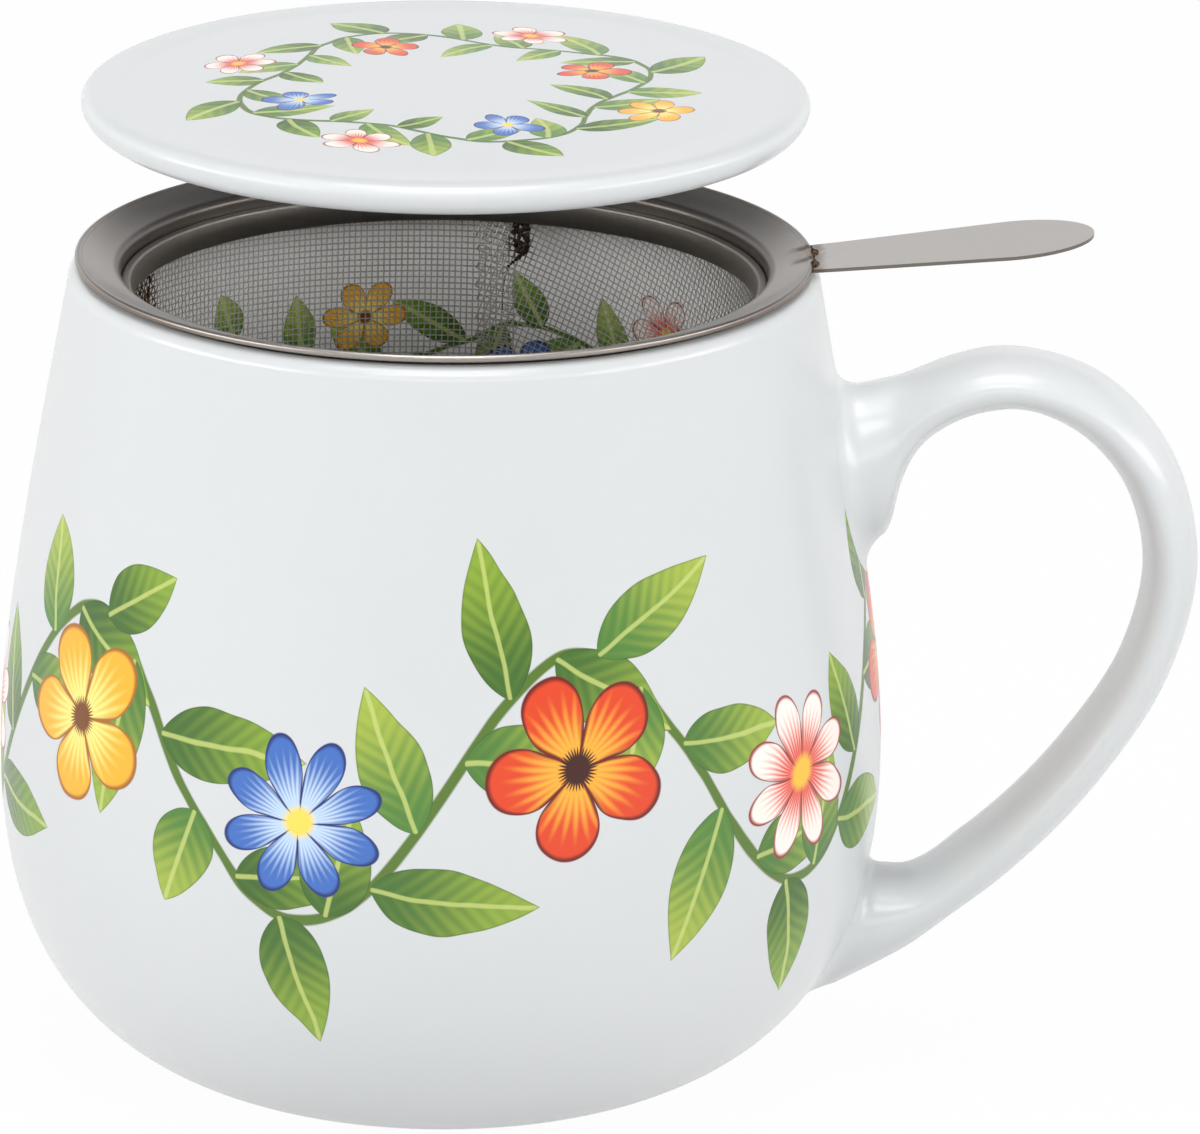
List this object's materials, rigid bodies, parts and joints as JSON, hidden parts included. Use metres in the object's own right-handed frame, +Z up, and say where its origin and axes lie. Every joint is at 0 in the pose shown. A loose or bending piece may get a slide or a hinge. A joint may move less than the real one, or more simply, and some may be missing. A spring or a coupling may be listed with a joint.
{
  "type": "mug with strainer and lid",
  "caption": "Barrel-shaped porcelain mug with a strap handle, a lift-out mesh strainer hung on its lip by a conical flange with a grip tab, and a loose lift-off lid.",
  "frame": {"origin": "on the mug's vertical axis, in the plane of the foot ring that it stands on", "axes": "+Z up along the mug's axis, +X towards the handle and the strainer's tab, +Y towards the back of the picture"},
  "size_m": [0.1336, 0.0986, 0.1132],
  "materials": {
    "porcelain": "glossy white glaze",
    "stainless_sheet": "satin, warm grey",
    "stainless_mesh": "woven wire cloth",
    "weld": "heat-tinted weld bead"
  },
  "bodies": {
    "mug": {"mug_body": "porcelain", "mug_handle": "porcelain"},
    "strainer": {"strainer_rim": "stainless_sheet", "strainer_retaining_ring": "stainless_sheet", "strainer_mesh_wall": "stainless_mesh", "strainer_mesh_seam": "stainless_mesh", "strainer_mesh_floor": "stainless_mesh", "strainer_base_ring": "stainless_sheet", "strainer_tab": "stainless_sheet", "tab_welds": "weld"},
    "lid": {"lid": "porcelain"}
  },
  "joints": [
    {"name": "strainer_lift", "type": "slide", "parent": "mug", "child": "strainer", "axis": [0, 0, 1], "range_m": [0, 0.07]},
    {"name": "lid_lift", "type": "slide", "parent": "strainer", "child": "lid", "axis": [0, 0, 1], "range_m": [-0.0158, 0.06]}
  ]
}
